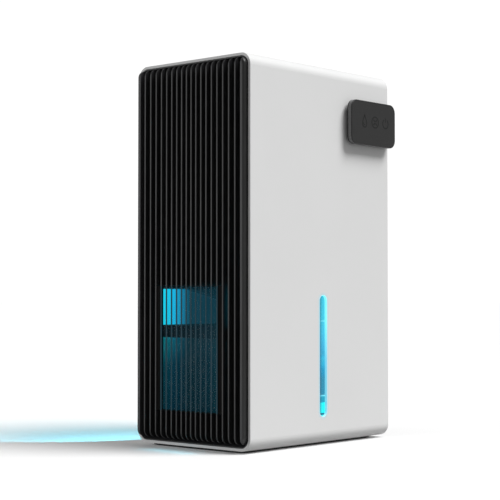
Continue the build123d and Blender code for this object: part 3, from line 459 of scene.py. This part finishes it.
RECIPES = {
    "white_shell": white_shell,
    "black_grille": black_grille,
    "smoked_lens": smoked_lens,
    "blackout": blackout,
    "level_lens": level_lens,
    "rear_plastic": lambda: moulded("rear_plastic", (0.022, 0.022, 0.024), 0.50, 0.5, 0.02),
    "base_plastic": lambda: moulded("base_plastic", (0.015, 0.015, 0.015), 0.62, 0.5, 0.02),
    "foot_rubber": lambda: moulded("foot_rubber", (0.018, 0.018, 0.018), 0.80, 0.25, 0.03, 0.15),
    "screw_steel": lambda: metal("screw_steel", (0.36, 0.35, 0.33), 0.34),
    "liner_plastic": lambda: moulded("liner_plastic", (0.008, 0.008, 0.009), 0.60, 0.6, 0.02),
    "light_guide": light_guide,
    "circuit_board": circuit_board,
    "led_lamp": lamp,
    "tank_clear": tank_clear,
    "funnel_clear": funnel_clear,
    "lid_plastic": lid_plastic,
    "silicone": lambda: moulded("silicone", (0.03, 0.03, 0.032), 0.55, 0.2, 0.01),
    "float_plastic": lambda: moulded("float_plastic", (0.58, 0.57, 0.54), 0.45, 0.3, 0.01),
    "magnet": lambda: metal("magnet", (0.45, 0.44, 0.43), 0.25),
    "sensor_plastic": lambda: moulded("sensor_plastic", (0.02, 0.02, 0.02), 0.5),
    "black_aluminium": lambda: metal("black_aluminium", (0.012, 0.012, 0.014), 0.42, (1.0, 1.0, 0.05)),
    "bare_aluminium": lambda: metal("bare_aluminium", (0.55, 0.56, 0.57), 0.36, (1.0, 1.0, 0.05)),
    "foam": foam,
    "ceramic": lambda: moulded("ceramic", (0.72, 0.70, 0.66), 0.5, 0.2, 0.01, 0.04),
    "fan_plastic": lambda: moulded("fan_plastic", (0.012, 0.012, 0.012), 0.48, 0.4, 0.015),
    "bearing_brass": lambda: metal("bearing_brass", (0.42, 0.28, 0.12), 0.4),
    "motor_iron": lambda: metal("motor_iron", (0.22, 0.10, 0.04), 0.45, (1.0, 0.05, 1.0)),
    "shaft_steel": lambda: metal("shaft_steel", (0.5, 0.5, 0.51), 0.2, (1.0, 0.05, 1.0)),
    "socket_plastic": lambda: moulded("socket_plastic", (0.02, 0.02, 0.02), 0.4),
    "contact_metal": lambda: metal("contact_metal", (0.60, 0.46, 0.20), 0.25),
    "pod_plastic": pod_shell,
    "touch_glass": touch_skin,
    "lead_jacket": lambda: moulded("lead_jacket", (0.015, 0.015, 0.015), 0.45, 0.3, 0.01),
}


def paint_frame():
    """Gives every CAD node the material of its slot."""
    made = {slot: recipe() for slot, recipe in RECIPES.items()}
    made["key_print"] = key_print()
    for entry in frame["record"]["subparts"]:
        mesh = frame["nodes"][entry["node"]].data
        mesh.materials.clear()
        mesh.materials.append(made[entry["material_slot"]])
    return made


# ---- Key symbols ----------------------------------------------------------------------------
def stroke(bm, points, width, closed):
    """Thin raised line along points in the YZ plane."""
    count = len(points)
    rings = []
    for i, here in enumerate(points):
        before = points[i - 1] if closed or i > 0 else here
        after = points[(i + 1) % count] if closed or i < count - 1 else here
        run = (after - before).normalized()
        across = Vector((-run.y, run.x)) * (width / 2)
        upper = [(INK_TOP, *(here + across)), (INK_TOP, *(here - across))]
        lower = [(INK_TOP - INK_DEPTH, y, z) for _, y, z in reversed(upper)]
        rings.append([bm.verts.new(corner) for corner in upper + lower])
    for i in range(count if closed else count - 1):
        a, b = rings[i], rings[(i + 1) % count]
        for k in range(4):
            bm.faces.new((a[k], a[(k + 1) % 4], b[(k + 1) % 4], b[k]))
    if not closed:
        bm.faces.new(rings[0])
        bm.faces.new(rings[-1])


def direction(angle):
    return Vector((math.cos(angle), math.sin(angle)))


def circle_points(radius):
    return [direction(2 * math.pi * i / CURVE_STEPS) * radius for i in range(CURVE_STEPS)]


def arc_points(radius, start, sweep):
    return [direction(start + sweep * i / CURVE_STEPS) * radius for i in range(CURVE_STEPS + 1)]


def drop_points(radius):
    """Droplet outline: a round bottom drawn up to a point."""
    points = []
    for i in range(CURVE_STEPS):
        angle = 2 * math.pi * i / CURVE_STEPS
        narrow = math.sin(angle / 2) ** 1.5
        points.append(Vector((math.sin(angle) * narrow * radius, math.cos(angle) * radius * 1.25)))
    return points


def shifted(points, across, up):
    return [point + Vector((across, up)) for point in points]


def spoke(angle, inner, outer):
    return [direction(angle) * inner, direction(angle) * outer]


def symbol(name, centre_y, strokes, material):
    """Printed key symbol on the touch face. Each stroke has points, a width, and closed or open."""
    bm = bmesh.new()
    centre = Vector((centre_y, (KEYS_LOW.z + KEYS_HIGH.z) / 2))
    for points, width, closed in strokes:
        stroke(bm, [centre + point for point in points], width, closed)
    bmesh.ops.recalc_face_normals(bm, faces=bm.faces[:])
    mesh = bpy.data.meshes.new(name)
    bm.to_mesh(mesh)
    bm.free()
    mesh.materials.append(material)
    obj = bpy.data.objects.new(name, mesh)
    bpy.context.collection.objects.link(obj)
    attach(obj, "casing")


def key_symbols(material):
    """Drop, fan and power signs, from the front key to the rear key."""
    thin, bold = 0.9 * MM, 1.2 * MM
    low_arc = shifted(arc_points(2.4 * MM, math.pi, 0.6 * math.pi), 0.2 * MM, -1.2 * MM)
    drop = [(drop_points(4.6 * MM), bold, True), (low_arc, thin, False)]
    blades = [(spoke(math.pi * (0.25 + 0.5 * i), 0.8 * MM, 3.6 * MM), 1.6 * MM, False) for i in range(4)]
    fan = [(circle_points(5.2 * MM), bold, True)] + blades
    power_ring = arc_points(4.4 * MM, 0.68 * math.pi, 1.64 * math.pi)
    power = [(power_ring, bold, False), ([Vector((0, 1.4 * MM)), Vector((0, 5.6 * MM))], bold, False)]
    for name, centre_y, strokes in zip(("key_drop", "key_fan", "key_power"), KEY_Y, (drop, fan, power)):
        symbol(name, centre_y, strokes, material)


# ---- Studio ---------------------------------------------------------------------------------
def world():
    """White to the eye, dim as a light."""
    scene_world = bpy.data.worlds.new("studio")
    bpy.context.scene.world = scene_world
    scene_world.use_nodes = True
    nodes = scene_world.node_tree.nodes
    links = scene_world.node_tree.links
    seen = nodes.new("ShaderNodeBackground")
    seen.inputs["Color"].default_value = (*WHITE, 1.0)
    seen.inputs["Strength"].default_value = SKY_SEEN
    lit = nodes["Background"]
    lit.inputs["Color"].default_value = (*WHITE, 1.0)
    lit.inputs["Strength"].default_value = SKY_LIGHT
    path = nodes.new("ShaderNodeLightPath")
    mixed = nodes.new("ShaderNodeMixShader")
    links.new(path.outputs["Is Camera Ray"], mixed.inputs["Fac"])
    links.new(lit.outputs["Background"], mixed.inputs[1])
    links.new(seen.outputs["Background"], mixed.inputs[2])
    links.new(mixed.outputs["Shader"], nodes["World Output"].inputs["Surface"])


def aim(obj, target):
    obj.rotation_euler = (Vector(target) - obj.location).to_track_quat("-Z", "Y").to_euler()


def light(name, kind, location, power, colour):
    """New light that doesn't show in the picture itself."""
    data = bpy.data.lights.new(name, kind)
    data.energy = power
    data.color = colour
    obj = bpy.data.objects.new(name, data)
    bpy.context.collection.objects.link(obj)
    obj.location = location
    obj.visible_camera = False
    return obj


def key_sun():
    obj = light("key", "SUN", Vector(SUN_WAY), SUN_STRENGTH, WHITE)
    obj.data.angle = math.radians(SUN_ANGLE)
    aim(obj, (0, 0, 0))


def softbox(name, location, target, size, power, colour):
    obj = light(name, "AREA", location, power, colour)
    obj.data.shape = "RECTANGLE"
    obj.data.size, obj.data.size_y = size
    aim(obj, target)


def window_spill():
    """Cyan light on the floor before the window."""
    spot = Vector((-2 * MM, SLEEVE_LOW.y - 27 * MM, 0.0))
    above = spot + Vector((0.0, 0.0, 10 * MM))
    softbox("window_spill", above, spot, WINDOW_SPILL_SIZE, WINDOW_SPILL_POWER, SPILL)


def slit_glow():
    """Cyan light of the left slit on the floor. One side of its cone runs out from the front corner."""
    location = (SLEEVE_LOW.x - 6 * MM, SLEEVE_LOW.y - 3 * MM, GLOW_HEIGHT)
    obj = light("slit_glow", "SPOT", location, GLOW_POWER, SPILL)
    obj.data.spot_size = math.radians(GLOW_CONE)
    obj.data.spot_blend = 0.08
    obj.data.shadow_soft_size = 2 * MM
    half = math.radians(GLOW_CONE) / 2
    along = Vector(GLOW_WAY)
    inwards = Vector((along.y, -along.x, 0.0))
    outwards = (along - Vector((0.0, 0.0, 1.0))).normalized()
    axis = inwards * math.sin(half) + outwards * math.cos(half)
    obj.rotation_euler = axis.to_track_quat("-Z", "Y").to_euler()


def floor():
    """White ground that takes shadows but throws no light back on the object."""
    bm = bmesh.new()
    bmesh.ops.create_grid(bm, x_segments=8, y_segments=8, size=20.0)
    mesh = bpy.data.meshes.new("floor")
    bm.to_mesh(mesh)
    bm.free()
    shader = Shader("floor")
    shader.mottle((0.96, 0.96, 0.96), 0.005, 3.0)
    shader.put(Roughness=0.6, Specular_IOR_Level=0.2)
    mesh.materials.append(shader.material)
    obj = bpy.data.objects.new("floor", mesh)
    bpy.context.collection.objects.link(obj)
    obj.visible_diffuse = False


def camera():
    data = bpy.data.cameras.new("camera")
    data.lens = CAMERA_LENS
    data.sensor_width = SENSOR
    obj = bpy.data.objects.new("camera", data)
    bpy.context.collection.objects.link(obj)
    obj.location = CAMERA_AT
    obj.rotation_euler = [math.radians(turn) for turn in CAMERA_TURN]
    bpy.context.scene.camera = obj


def studio():
    world()
    floor()
    camera()
    key_sun()
    softbox("fill", FILL_AT, FILL_TARGET, FILL_SIZE, FILL_POWER, WHITE)
    window_spill()
    slit_glow()
    bpy.context.scene.view_settings.view_transform = "Standard"


materials = paint_frame()
key_symbols(materials["key_print"])
studio()
